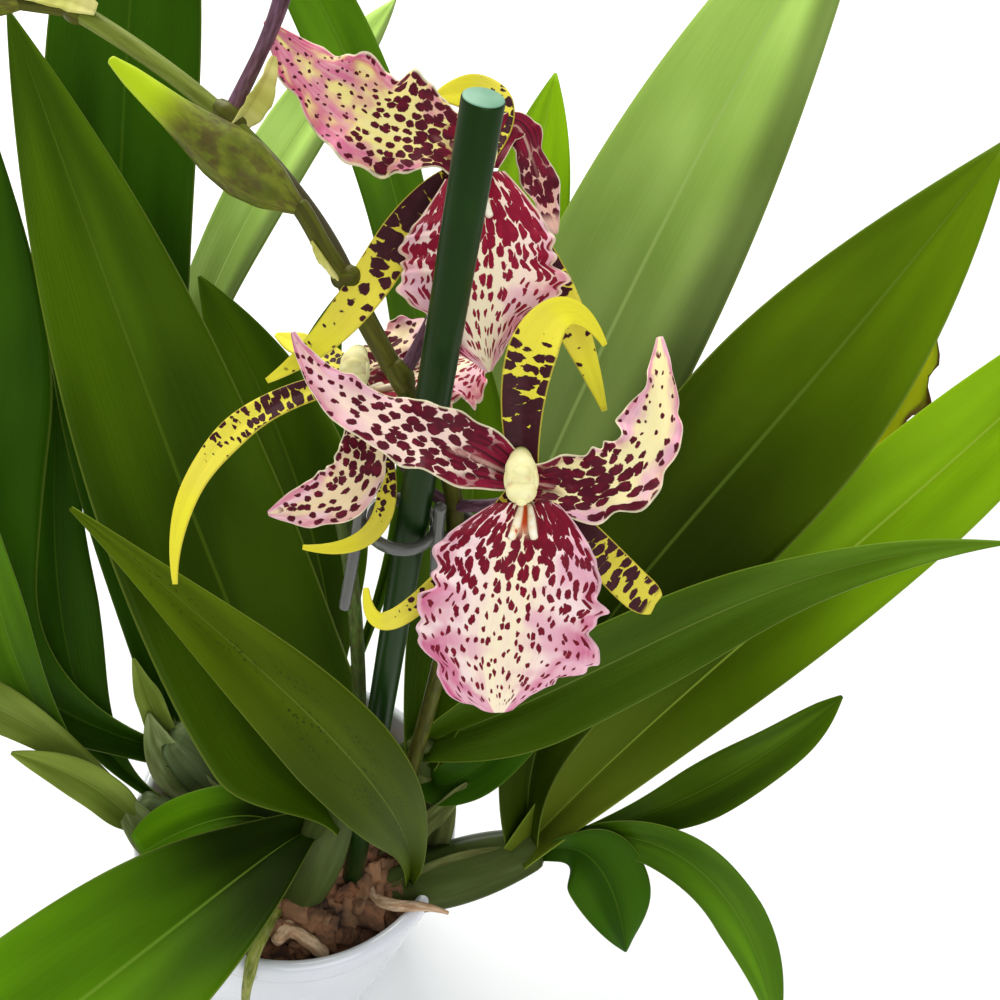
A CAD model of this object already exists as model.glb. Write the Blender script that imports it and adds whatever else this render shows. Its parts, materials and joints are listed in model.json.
# %% [markdown]
# # A potted orchid, dressed in Blender
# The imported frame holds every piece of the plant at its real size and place, as plain solids.
# This lesson replaces them with finer pieces on the same curves, and paints them with nodes.
# Lengths are in millimetres, as a grower would measure, and become metres when a mesh is made.

# %% Load the frame
import bpy, json, math
import numpy as np
from mathutils import Matrix, Vector, noise


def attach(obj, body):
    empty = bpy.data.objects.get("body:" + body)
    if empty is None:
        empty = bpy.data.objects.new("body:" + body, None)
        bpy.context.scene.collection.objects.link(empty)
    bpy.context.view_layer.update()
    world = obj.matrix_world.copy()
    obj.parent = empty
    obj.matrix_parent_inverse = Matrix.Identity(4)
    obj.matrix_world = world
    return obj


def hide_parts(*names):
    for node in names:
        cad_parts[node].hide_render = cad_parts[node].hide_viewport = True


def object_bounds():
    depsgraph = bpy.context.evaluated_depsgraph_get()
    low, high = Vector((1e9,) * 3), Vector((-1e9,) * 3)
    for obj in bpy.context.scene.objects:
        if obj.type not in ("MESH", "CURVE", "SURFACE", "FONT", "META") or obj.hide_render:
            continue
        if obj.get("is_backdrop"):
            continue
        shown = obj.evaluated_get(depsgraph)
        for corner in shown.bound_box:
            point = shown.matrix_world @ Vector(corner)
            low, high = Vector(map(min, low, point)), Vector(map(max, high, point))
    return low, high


MM = 0.001
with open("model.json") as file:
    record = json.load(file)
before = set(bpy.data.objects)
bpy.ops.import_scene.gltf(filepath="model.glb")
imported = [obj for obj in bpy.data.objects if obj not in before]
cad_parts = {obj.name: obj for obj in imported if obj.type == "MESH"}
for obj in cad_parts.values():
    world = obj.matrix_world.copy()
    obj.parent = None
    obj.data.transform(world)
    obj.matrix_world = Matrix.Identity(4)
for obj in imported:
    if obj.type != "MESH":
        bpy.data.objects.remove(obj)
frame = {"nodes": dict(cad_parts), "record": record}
cad_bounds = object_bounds()
print("nodes in the frame:", len(frame["nodes"]))

# %% [markdown]
# ## The camera
# The picture looks down on the plant at 45 degrees from just in front of it, with a slight roll.
# A camera could be aimed with a Track To constraint, but then the roll would be lost.
# Writing its three axes straight into the matrix keeps place, aim and roll together.

# %% Camera
SENSOR = 36       # width in millimetres
LENS = 1.055      # focal length, counted in widths of the sensor
right, up = Vector((0.97, 0.1725, 0.1713)), Vector((-0.2431, 0.6882, 0.6836))
ahead = Vector((0, 0.7048, -0.7094))
eye = Vector((46.6, -193.7, 497.8)) * MM
camera_data = bpy.data.cameras.new("camera")
camera_data.sensor_width, camera_data.lens = SENSOR, SENSOR * LENS
camera_data.clip_start = 0.01
camera = bpy.data.objects.new("camera", camera_data)
camera.matrix_world = Matrix.Translation(eye) @ Matrix((right, up, -ahead)).transposed().to_4x4()
bpy.context.scene.collection.objects.link(camera)
bpy.context.scene.camera = camera
print("camera at", [round(v, 3) for v in eye])

# %% [markdown]
# ## Light
# Soft light comes from a large panel high behind the plant, which makes thin leaves glow at
# their edges. A weaker panel lights the near side, and a bright even sky fills the shadows.
# A sun lamp would be simpler, but its shadows are hard, and leaves look stiff in them.

# %% Lamps and sky
PLANT_MIDDLE = Vector((0, 0, 250)) * MM

def lamp(name, place, size, watts, colour):
    data = bpy.data.lights.new(name, "AREA")
    data.shape, data.size, data.energy, data.color = "SQUARE", size, watts, colour
    light = bpy.data.objects.new(name, data)
    light.location = place
    light.rotation_euler = (PLANT_MIDDLE - Vector(place)).to_track_quat("-Z", "Y").to_euler()
    bpy.context.scene.collection.objects.link(light)
    print("lamp:", name, watts, "W")

lamp("back_panel", (-0.9, 1.1, 1.7), 1.3, 42, (1, 0.99, 0.95))
lamp("near_panel", (0.9, -1.5, 1.5), 1.4, 16, (0.97, 0.98, 1))

world = bpy.data.worlds.new("studio")
world.use_nodes = True
sky = world.node_tree.nodes["Background"].inputs
sky["Color"].default_value, sky["Strength"].default_value = (0.95, 0.97, 1, 1), 0.66
bpy.context.scene.world = world
bpy.context.scene.view_settings.view_transform = "Standard"
bpy.context.scene.view_settings.look = "None"

# %% [markdown]
# ## A few words for nodes
# Materials here are written as code. They could be wired by hand in the shader editor, but the
# plant needs some forty of them, and code is easier to read, compare and change.
# `put` adds one node and plugs in either a number or another node's output, so a material reads
# from top to bottom like a recipe. Colours are given as they look on a screen, and `tone` turns
# them into light values.

# %% Helpers: colours and single nodes
def tone(code):
    parts = [int(code[i:i + 2], 16) / 255 for i in (1, 3, 5)]
    linear = [c / 12.92 if c <= 0.04045 else ((c + 0.055) / 1.055) ** 2.4 for c in parts]
    return (*linear, 1)

def put(tree, kind, inputs=(), **settings):
    node = tree.nodes.new("ShaderNode" + kind)
    for key, value in settings.items():
        setattr(node, key, value)
    for key, value in dict(inputs).items():
        if isinstance(value, bpy.types.NodeSocket):
            tree.links.new(value, node.inputs[key])
        else:
            node.inputs[key].default_value = value
    return node

print("mid grey on a screen is this much light:", round(tone("#808080")[0], 3))

# %% [markdown]
# The next helpers are the verbs of every recipe. `rise` is a soft step from 0 to 1 and `fall` one
# from 1 to 0, `speckle` is a cloudy noise, and `drawn_out` stretches a pattern along the leaf or
# petal, so that clouds turn into bands or streaks.

# %% Helpers: sums, mixes and patterns
def calc(tree, operation, first, second=0.0):
    return put(tree, "Math", {0: first, 1: second}, operation=operation).outputs[0]

def times(tree, first, second):
    return calc(tree, "MULTIPLY", first, second)

def mix(tree, share, first, second, blend="MIX"):
    node = put(tree, "Mix", {0: share, 6: first, 7: second}, data_type="RGBA", blend_type=blend)
    return node.outputs[2]

def remap(tree, value, low, high, start=0.0, end=1.0, kind="LINEAR"):
    node = put(tree, "MapRange", {"Value": value, "From Min": low, "From Max": high,
                                  "To Min": start, "To Max": end}, interpolation_type=kind)
    return node.outputs["Result"]

def rise(tree, value, low, high):
    return remap(tree, value, low, high, kind="SMOOTHSTEP")

def fall(tree, value, low, high):
    return calc(tree, "SUBTRACT", 1.0, rise(tree, value, low, high))

def speckle(tree, place, scale, detail=2.0, rough=0.5):
    node = put(tree, "TexNoise", {"Vector": place, "Scale": scale, "Detail": detail, "Roughness": rough})
    return node.outputs["Fac"]

def triple(tree, x, y, z=0.0):
    return put(tree, "CombineXYZ", {"X": x, "Y": y, "Z": z}).outputs[0]

def drawn_out(tree, across, run, seed, finer, slower):
    return triple(tree, times(tree, across, finer), times(tree, run, slower), seed)

def mark(tree, name):
    return put(tree, "Attribute", attribute_name=name).outputs["Fac"]

def own_place(tree):
    return put(tree, "TexCoord").outputs["Object"]

print("patterns ready: rise, fall, speckle, drawn_out")

# %% [markdown]
# Every material starts from one Principled BSDF. What is the same all over a piece, such as its
# gloss or how far light soaks in, is set on the shader itself. What changes over the surface,
# its colour, roughness and fine relief, comes from nodes through `feed`.

# %% Helpers: a material
def new_material(name, rough, gloss=0.5, coat=0.0, tint=(1, 1, 1, 1), glow=None, glow_reach=None):
    material = bpy.data.materials.new(name)
    material.use_nodes = True
    shader = material.node_tree.nodes["Principled BSDF"]
    values = {"Roughness": rough, "Specular IOR Level": gloss, "Coat Weight": coat, "Specular Tint": tint}
    if glow:
        values.update({"Subsurface Weight": glow, "Subsurface Radius": glow_reach})
    for key, value in values.items():
        shader.inputs[key].default_value = value
    return material, material.node_tree, shader

def feed(tree, shader, colour, height=None, depth=0.0, reach=0.0, rough=None):
    tree.links.new(colour, shader.inputs["Base Color"])
    if rough is not None:
        tree.links.new(rough, shader.inputs["Roughness"])
    if height is not None:
        bump = put(tree, "Bump", {"Strength": depth, "Distance": reach, "Height": height})
        tree.links.new(bump.outputs["Normal"], shader.inputs["Normal"])

print("materials so far:", len(bpy.data.materials))

# %% [markdown]
# ## A shared effect: leaf veins
# Orchid leaves are ribbed with fine parallel veins and one strong midrib, and a thin pale line
# runs along the margin. An image could hold this, but it would blur up close. Each leaf instead
# carries two marks per point, `across` from -1 to 1 and `run` in millimetres, and this node group
# turns them into masks that any leaf material can use with its own values.

# %% Node group: leaf veins
def new_group(name, ins, outs):
    tree = bpy.data.node_groups.new(name, "ShaderNodeTree")
    for label, value in ins.items():
        socket = tree.interface.new_socket(name=label, in_out="INPUT", socket_type="NodeSocketFloat")
        socket.default_value = value
    for label in outs:
        tree.interface.new_socket(name=label, in_out="OUTPUT", socket_type="NodeSocketFloat")
    source, sink = tree.nodes.new("NodeGroupInput"), tree.nodes.new("NodeGroupOutput")
    return tree, source.outputs, sink.inputs

def use(tree, group, inputs):
    return put(tree, "Group", inputs, node_tree=group).outputs

veins, source, sink = new_group("leaf veins", dict(Across=0.0, Run=0.0, Count=9.0, Seed=0.0),
                                ["Vein", "Midrib", "Margin", "Mottle", "Band"])
strip = [source[word] for word in ("Across", "Run", "Seed")]
far = calc(veins, "ABSOLUTE", source["Across"])
fine_ribs = speckle(veins, drawn_out(veins, *strip, source["Count"], 0.006), 3.2, 3.0)
masks = {
    "Vein": rise(veins, fine_ribs, 0.35, 0.7),
    "Midrib": fall(veins, far, 0.005, 0.035),
    "Margin": rise(veins, far, 0.972, 0.995),
    "Mottle": speckle(veins, drawn_out(veins, *strip, 2.0, 0.018), 1.6, 3.0),
    "Band": speckle(veins, drawn_out(veins, *strip, 0.8, 0.008), 1.6, 1.0),
}
for label, mask in masks.items():
    veins.links.new(mask, sink[label])
print("group:", veins.name, list(masks))

# %% [markdown]
# ## A shared effect: flower spots
# The flowers are spotted with dark blotches that are small and round far out and run together
# towards the heart. A cell texture gives one round dot per cell. Letting `Cover` grow swells the
# dots until they meet and leave only thin light lines between them, just as on the flower.
# Each cell also grows its dot by its own random share, and a little noise bends the cells first,
# so that no two dots are alike.

# %% Node group: flower spots
SOFT_EDGE, RAGGED = 0.035, 0.32
spots, source, sink = new_group(
    "flower spots", dict(Sideways=0.0, Lengthways=0.0, Seed=0.0, Size=2.5, Stretch=1.0, Warp=0.5, Cover=0.4),
    ["Mask", "Tint"])
x = calc(spots, "DIVIDE", source["Sideways"], source["Size"])
y = calc(spots, "DIVIDE", source["Lengthways"], times(spots, source["Size"], source["Stretch"]))
shifted = times(spots, source["Seed"], 7.31)
plain = triple(spots, calc(spots, "ADD", x, shifted), calc(spots, "ADD", y, shifted))
bend = put(spots, "TexNoise", {"Vector": plain, "Scale": 0.9, "Detail": 2.0})
shift = put(spots, "VectorMath", {0: bend.outputs["Color"], 1: (0.5, 0.5, 0.5)}, operation="SUBTRACT")
sway = put(spots, "VectorMath", {0: shift.outputs[0], "Scale": source["Warp"]}, operation="SCALE")
bent = put(spots, "VectorMath", {0: plain, 1: sway.outputs[0]}, operation="ADD")
cells = put(spots, "TexVoronoi", {"Vector": bent.outputs[0], "Scale": 1.0, "Randomness": 0.8},
            voronoi_dimensions="2D")
rough_rim = times(spots, calc(spots, "SUBTRACT", speckle(spots, plain, 3.5, 2.0), 0.5), RAGGED)
own_share = put(spots, "SeparateColor", {"Color": cells.outputs["Color"]}).outputs["Red"]
cover = times(spots, source["Cover"], remap(spots, own_share, 0.0, 1.0, 0.66, 1.3))
gap = calc(spots, "SUBTRACT", calc(spots, "ADD", cells.outputs["Distance"], rough_rim), cover)
spots.links.new(fall(spots, gap, -SOFT_EDGE, SOFT_EDGE), sink["Mask"])
spots.links.new(speckle(spots, plain, 1.3, 2.0), sink["Tint"])
print("group:", spots.name)

# %% [markdown]
# ## Curves and meshes
# Every stem, leaf and petal follows a curve through four handles, the same ones that the frame's
# solids follow. A curve object with a bevel could draw the stems, but not a leaf that folds,
# ripples and thins towards its edge. So points are worked out row by row, along such a curve.

# %% Helpers: curves
def at(path, t):
    p0, p1, p2, p3 = [np.array(p, float) for p in path]
    t = np.asarray(t, float)[..., None]
    s = 1 - t
    return p0 * s ** 3 + 3 * p1 * s * s * t + 3 * p2 * s * t * t + p3 * t ** 3

def unit(v):
    return v / np.maximum(np.linalg.norm(v, axis=-1, keepdims=True), 1e-9)

def heading(path, t, step=0.01):
    t = np.asarray(t, float)
    return unit(at(path, np.minimum(1, t + step)) - at(path, np.maximum(0, t - step)))

def ease(value, low, high):
    s = np.clip((np.asarray(value, float) - low) / (high - low), 0, 1)
    return s * s * (3 - 2 * s)

def walked(centre):
    return np.concatenate([[0], np.cumsum(np.linalg.norm(np.diff(centre, axis=0), axis=1))])

print("half way along a straight 10 mm path:", at([(0, 0, z) for z in (0, 10 / 3, 20 / 3, 10)], 0.5))

# %% [markdown]
# One piece may be made of several skins, such as the five petals of a flower. Joining objects by
# hand would lose track of which finish each skin has. So a skin is kept as a `patch` of points,
# faces and marks, and `build` joins patches into one mesh with the marks that the materials read.
# `dress` then tells the frame which solid the mesh replaces.

# %% Helpers: patches and pieces
def patch(points, faces, slot=0, **marks):
    return {"points": np.asarray(points, float), "faces": faces, "slot": slot, "marks": marks}

def build(name, patches, materials, smooth=True):
    points, faces, slots, marks, offset = [], [], [], {}, 0
    total = sum(len(p["points"]) for p in patches)
    for p in patches:
        points.append(p["points"])
        faces += [tuple(i + offset for i in face) for face in p["faces"]]
        slots += [p["slot"]] * len(p["faces"])
        for key, values in p["marks"].items():
            whole = marks.setdefault(key, np.zeros(total))
            whole[offset:offset + len(p["points"])] = values
        offset += len(p["points"])
    mesh = bpy.data.meshes.new(name)
    mesh.from_pydata((np.concatenate(points) * MM).tolist(), [], faces)
    for key, values in marks.items():
        layer = mesh.attributes.new(key, "FLOAT", "POINT")
        layer.data.foreach_set("value", values.astype(np.float32))
    for material in materials:
        mesh.materials.append(material)
    mesh.polygons.foreach_set("material_index", slots)
    mesh.polygons.foreach_set("use_smooth", [smooth] * len(faces))
    mesh.validate()
    piece = bpy.data.objects.new(name, mesh)
    bpy.context.scene.collection.objects.link(piece)
    return piece

def dress(piece, nodes, slot):
    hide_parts(*nodes)
    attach(piece, "root")
    triangles = sum(len(p.vertices) - 2 for p in piece.data.polygons)
    print(f"{piece.name}: {triangles} triangles")

# %% [markdown]
# ## Round things: stems, roots, buds
# A stem is rings of points carried along its curve, each ring turned as little as possible from
# the last, so that it never twists. Extra rings at both ends shrink to a rounded cap.
# `shape` lets a caller press ridges or grooves into the ring.

# %% Helper: a swept stem
CAP_RINGS = (0.25, 0.7, 0.93)     # how wide the rings of a cap are, beside the stem
CAP_LENGTH = 0.6                  # how far a cap reaches, in radii

def round_angles(sides):
    return 2 * np.pi * np.arange(sides) / sides

def tube_faces(rings, sides, ends=True):
    faces = [(i * sides + j, i * sides + (j + 1) % sides,
              (i + 1) * sides + (j + 1) % sides, (i + 1) * sides + j)
             for i in range(rings - 1) for j in range(sides)]
    if ends:
        faces += [tuple(reversed(range(sides))), tuple(range((rings - 1) * sides, rings * sides))]
    return faces

def sweep(path, radii, sides, steps, shape=None, slot=0):
    t, angle = np.linspace(0, 1, steps + 1), round_angles(sides)
    centre, along = at(path, t), heading(path, t)
    side = np.cross([0, 0, 1], along[0])
    if np.linalg.norm(side) < 0.1:
        side = np.array([1.0, 0, 0])
    radius = np.interp(t, np.linspace(0, 1, len(radii)), radii)
    rows = []
    for i, length in enumerate(walked(centre)):
        side = unit(side - along[i] * side.dot(along[i]))
        upward = np.cross(along[i], side)
        stretch = shape(angle, t[i]) if shape else 1.0
        ring = side * (np.cos(angle) * stretch)[:, None] + upward * (np.sin(angle) * stretch)[:, None]
        rows.append((centre[i], ring, radius[i], along[i], length, t[i]))
    points, turn, down, share = [], [], [], []
    def add(row, scale, reach):
        middle, ring, r, direction, length, place = row
        shove = r * CAP_LENGTH * reach
        points.append(middle + direction * shove + ring * r * scale)
        turn.append(angle / (2 * np.pi))
        down.append(np.full(sides, length + shove))
        share.append(np.full(sides, place))
    for c in CAP_RINGS:
        add(rows[0], c, -math.sqrt(1 - c * c))
    for row in rows:
        add(row, 1.0, 0.0)
    for c in reversed(CAP_RINGS):
        add(rows[-1], c, math.sqrt(1 - c * c))
    return patch(np.concatenate(points), tube_faces(len(points), sides), slot, turn=np.concatenate(turn),
                 run=np.concatenate(down), along=np.concatenate(share))

print("a stem of 20 sides and 40 steps has", len(tube_faces(47, 20)), "faces")

# %% [markdown]
# ## Thin things: leaves, sepals, petals, lips
# Seen flat, a leaf or petal grows from a narrow foot to its widest place and closes to a point.
# It could be traced as an outline, but four numbers say the same and are easier to change:
# `foot` and `widest` place the swelling, `point` says how late it closes, and `waist` pinches it.
# Live edges are never regular, so `unruly` adds up waves of several pitches.

# %% Helpers: outline and frill
WAIST_SPAN = 0.09
PITCHES = (0.37, 0.61, 1, 1.43, 1.87, 2.6)

def half_width(t, width, foot=0.2, widest=0.45, point=2.2, tip=1.2, full=False, waist=0, waist_at=0.5):
    s = np.clip(t / widest, 0, 1)
    growing = foot + (1 - foot) * (np.sin(np.pi * s / 2) if full else s * s * (3 - 2 * s))
    closing = 1 - np.clip((t - widest) / (1 - widest), 0, 1) ** point
    half = np.where(t < widest, width / 2 * growing, tip / 2 + (width - tip) / 2 * closing)
    return half * (1 - waist * np.exp(-((t - waist_at) / WAIST_SPAN) ** 2))

def unruly(draw, t, pitch):
    return sum(np.sin(2 * np.pi * pitch * f * t + draw.uniform(0, 6.28)) / (0.6 + f) for f in PITCHES)

print("half width of a 60 mm leaf:", half_width(np.linspace(0, 1, 5), 60).round(1))

# %% [markdown]
# A blade has a skin on each side, so that it has a real thickness. A flat plane with a Solidify
# modifier would do this too, but it can't thin towards the rim. Here both skins are grids of the
# same size, joined by a strip all round, which makes one closed solid.

# %% Helper: the faces of a blade
def blade_faces(steps, cells):
    row, under = cells + 1, (steps + 1) * (cells + 1)
    faces = []
    for i in range(steps):
        for j in range(cells):
            a, b, c, d = i * row + j, i * row + j + 1, (i + 1) * row + j + 1, (i + 1) * row + j
            faces += [(a, b, c, d), (a + under, d + under, c + under, b + under)]
        first, last = i * row, i * row + cells
        faces += [(first, first + row, first + row + under, first + under),
                  (last, last + under, last + row + under, last + row)]
    for j in range(cells):
        last = steps * row + j
        faces += [(j, j + under, j + 1 + under, j + 1), (last, last + 1, last + 1 + under, last + under)]
    return faces

print("a leaf of 60 by 18 cells has", len(blade_faces(60, 18)), "faces")

# %% [markdown]
# A real blade folds like a gutter near its foot and opens out further on. It ripples towards its
# edges and thins to a fine rim. `fold` gives the two angles, `wave` the long ripple, `frill` and
# `lobes` the small unruly ones, and `calm` the share of the length that stays smooth.
# Each point also gets its marks: `across` and `along` as shares, `run` and `sideways` in
# millimetres, and `under` for the lower skin.

# %% Helper: a blade
ROW_CROWDING, CELL_CROWDING = 0.94, 0.9     # rows lie closer near the tip, and cells near the rim
FOLD_ROUNDING, FOLD_DROP = 0.004, 0.063     # these round the fold along the midrib

def blade(path, face, width, cells, steps, thickness, fold=(60, 15), wave=0, waves=3, curl=0,
          lobes=0, frill=0, frills=9, seed=0, rim=0.5, slot=0, edge=None, calm=0.0, **outline):
    t = np.linspace(0, 1, steps + 1) ** ROW_CROWDING
    centre, along = at(path, t), heading(path, t)
    side = unit(np.cross(along, np.array(face, float)))
    upward = unit(np.cross(side, along))
    lift = np.radians(fold[1] + (fold[0] - fold[1]) * (1 - t) ** 4)
    half = half_width(t, width, **outline)
    across = np.linspace(-1, 1, cells + 1)
    across = np.sign(across) * np.abs(across) ** CELL_CROWDING
    draw = np.random.default_rng(seed)
    frilly, notched = [[unruly(draw, t, pitch) for _ in range(2)] for pitch in (frills, frills * 0.7)]
    awake = ease(t, calm - 0.2, calm + 0.1)
    top, bottom = [], []
    for a in across:
        far, sign = abs(a), (1 if a > 0 else -1)
        soft = math.sqrt(far * far + FOLD_ROUNDING) - FOLD_DROP
        ripple = wave * np.sin(2 * np.pi * waves * t + (0 if sign > 0 else 2)) * far ** 2
        small = frill * far ** 3 * frilly[sign > 0]
        ripple = (ripple * awake + small * ease(t, 0.08, 0.3)) * np.minimum(1, half / 4)
        reach = half * (1 + far * lobes * notched[sign > 0] * awake)
        if edge is not None:
            reach = reach * (1 - far ** 4 * edge(t, sign))
        bend = lift - curl * far
        middle = (centre + side * (sign * far * reach * np.cos(bend))[:, None]
                  + upward * (soft * half * np.sin(bend) + ripple)[:, None])
        normal = upward * np.cos(bend)[:, None] - side * (sign * min(1, far * 8) * np.sin(bend))[:, None]
        depth = thickness / 2 * (1 - (1 - rim) * far ** 3)
        top.append(middle + normal * depth)
        bottom.append(middle - normal * depth)
    points = [np.array(skin).transpose(1, 0, 2).reshape(-1, 3) for skin in (top, bottom)]
    grid = np.ones((steps + 1, cells + 1))
    marks = dict(across=grid * across, along=grid * t[:, None], run=grid * walked(centre)[:, None],
                 sideways=grid * across * half[:, None])
    marks = {key: np.tile(values.ravel(), 2) for key, values in marks.items()}
    marks["under"] = np.repeat([0.0, 1.0], grid.size)
    return patch(np.concatenate(points), blade_faces(steps, cells), slot, **marks)

print("a blade carries the marks across, along, run, sideways and under")

# %% [markdown]
# ## Leaf finishes: the greens
# The leaves of one plant are never one green. Broad bands of a light and a dark green lie along
# the leaf, fine ribs catch the light, and the channel over the midrib stays dark.
# Painting each leaf by hand would take days, so one recipe takes two greens and the vein masks.

# %% Leaf greens
def leaf_greens(tree, ribs, far, dark, light):
    colour = mix(tree, rise(tree, ribs["Band"], 0.3, 0.7), tone(dark), tone(light))
    colour = mix(tree, times(tree, ribs["Vein"], 0.12), colour, tone(light))
    shade = times(tree, rise(tree, ribs["Mottle"], 0.4, 0.75), 0.22)
    colour = mix(tree, shade, colour, tone(dark))
    channel = times(tree, fall(tree, far, 0.02, 0.2), 0.35)
    return mix(tree, channel, colour, tone(dark))

print("leaf greens use the group", veins.name)

# %% [markdown]
# ## Leaf finishes: the glow along a leaf
# A leaf is darker down among its neighbours and brighter where it reaches the open, and one with
# the light behind it glows lime at its end. The lamps give a part of this, but thin real leaves
# pass on more light than a solid does. So `lift` scales the colour between two places along the
# leaf, and `one_side` holds back one half of a leaf that is turned away from the light.

# %% Leaf brightness
def leaf_brightness(tree, colour, across, along, lift, lift_at, one_side):
    strength = remap(tree, along, *lift_at, *lift, kind="SMOOTHSTEP")
    if one_side:
        held = calc(tree, "SUBTRACT", 1.0, times(tree, rise(tree, across, 0.35, 0.8), one_side))
        strength = times(tree, strength, held)
    return mix(tree, 1.0, colour, triple(tree, strength, strength, strength), "MULTIPLY")

print("brightness is a ramp along each leaf")

# %% [markdown]
# ## Leaf finishes: marks of age
# The oldest leaf is dry and scorched at one edge near its end, and the leaf in front has small
# dark flecks beside its midrib. Both need ragged borders, or they would look printed. So the
# scorch adds the mottle mask to its place across the leaf, and the flecks are cells of a
# stretched cell texture, shown only in the middle and where the mottle is high.

# %% Scorch and flecks
FLECK_BROWN = "#23260A"

def leaf_scorch(tree, colour, ribs, across, along, dry):
    frayed = calc(tree, "ADD", across, times(tree, ribs["Mottle"], 0.5))
    scorch = times(tree, rise(tree, frayed, 1.02, 1.2), rise(tree, along, 0.5, 0.7))
    return mix(tree, scorch, colour, tone(dry))

def leaf_flecks(tree, colour, ribs, across, far, run, amount):
    grid = triple(tree, times(tree, across, 9.0), times(tree, run, 0.35))
    dots = put(tree, "TexVoronoi", {"Vector": grid, "Scale": 1.0, "Randomness": 1.0}, voronoi_dimensions="2D")
    where = times(tree, fall(tree, far, 0.2, 0.7), rise(tree, ribs["Mottle"], 0.45, 0.62))
    there = times(tree, fall(tree, dots.outputs["Distance"], 0.08, 0.3), where)
    return mix(tree, times(tree, there, amount), colour, tone(FLECK_BROWN))

print("flecks are painted", FLECK_BROWN)

# %% [markdown]
# ## Leaf finishes: the whole recipe
# The skin is waxy, so it is fairly smooth, but its shine is kept low and tinted green: a full
# shine mirrors the sky and turns dark leaves milky. A little light soaks in, the midrib and the
# margin are lighter lines, and the underside is paler. Some leaves also fade to a dull foot.

# %% Leaf finish
MARGIN_GREEN = "#A9B84C"

def leaf_finish(name, dark, light, rib, rough=0.4, foot=None, flecks=0.0, lift=(0.62, 1.2), lift_at=(0, 1),
                gloss=0.2, dry=None, one_side=0.0):
    material, tree, shader = new_material(name, rough, gloss, tint=(0.85, 1, 0.4, 1),
                                          glow=0.05, glow_reach=(0.002, 0.004, 0.001))
    across, run, along, seed = [mark(tree, word) for word in ("across", "run", "along", "seed")]
    far = calc(tree, "ABSOLUTE", across)
    ribs = use(tree, veins, {"Across": across, "Run": run, "Count": 9.0, "Seed": seed})
    colour = leaf_greens(tree, ribs, far, dark, light)
    colour = leaf_brightness(tree, colour, across, along, lift, lift_at, one_side)
    if foot:
        colour = mix(tree, fall(tree, run, 20, 100), colour, tone(foot))
    colour = mix(tree, times(tree, ribs["Midrib"], 0.45), colour, tone(rib))
    colour = mix(tree, times(tree, ribs["Margin"], 0.2), colour, tone(MARGIN_GREEN))
    if dry:
        colour = leaf_scorch(tree, colour, ribs, across, along, dry)
    if flecks:
        colour = leaf_flecks(tree, colour, ribs, across, far, run, flecks)
    pale = mix(tree, 0.35, colour, tone(light))
    colour = mix(tree, mark(tree, "under"), colour, pale)
    dull = remap(tree, ribs["Mottle"], 0.0, 1.0, rough - 0.06, rough + 0.12)
    height = calc(tree, "SUBTRACT", ribs["Vein"], times(tree, ribs["Midrib"], 2.5))
    feed(tree, shader, colour, height, 0.3, 0.0002, rough=dull)
    return material

leaf_looks = {
    "deep": leaf_finish("leaf deep green", "#2C4401", "#425E03", "#5A7218", lift=(0.74, 1.28),
        lift_at=(0.45, 0.95), gloss=0.1),
    "dark": leaf_finish("leaf dark green", "#1F3E00", "#305604", "#4C6C14", lift=(0.7, 1.1), gloss=0.1),
    "broad": leaf_finish("leaf broad green", "#2E4001", "#405602", "#66802A", lift=(0.55, 2.3),
        lift_at=(0.6, 0.95), gloss=0.1),
    "olive": leaf_finish("leaf olive green", "#384802", "#4A5C05", "#66762A", flecks=0.85,
        lift=(0.78, 1.25), lift_at=(0.4, 0.95), gloss=0.06),
    "front": leaf_finish("leaf near green", "#355802", "#4E7804", "#789A30", lift=(0.14, 1.6),
        lift_at=(0.34, 0.74), gloss=0.1),
    "grass": leaf_finish("leaf grass green", "#345602", "#4E7805", "#6E8E28", lift=(0.45, 1.5), gloss=0.2),
    "lime": leaf_finish("leaf lime green", "#5E8006", "#7AA20A", "#A8C044", lift=(0.26, 1.35),
        lift_at=(0.35, 0.78), gloss=0.12, foot="#566416"),
    "pale": leaf_finish("leaf pale green", "#708A3A", "#90AA56", "#A8BE6C", lift=(0.6, 2.15),
        lift_at=(0.45, 0.88), gloss=0.14, one_side=0.62),
    "grey": leaf_finish("leaf grey green", "#3A5404", "#4C6A14", "#7E9040", rough=0.36, lift=(0.82, 1.6),
        lift_at=(0.5, 0.88), gloss=0.14),
    "soft": leaf_finish("leaf soft olive", "#5A6A1E", "#7A8A38", "#98A458", lift=(0.85, 1.25), gloss=0.12),
    "yellow": leaf_finish("leaf turning yellow", "#5C7004", "#9A9C08", "#A8A434", rough=0.45,
        lift=(0.5, 1.5), dry="#4A2C0E"),
}
print(len(leaf_looks), "leaf finishes")

# %% [markdown]
# ## The leaves
# Twenty-five leaves rise from the bulbs. Each could be modelled by itself, but they are all one
# kind of blade, so each is one entry below: its handles in millimetres, how wide it is and where,
# the way its upper side looks, and its finish. They are long, narrow at the foot where they
# clasp, and open out flat.

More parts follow.
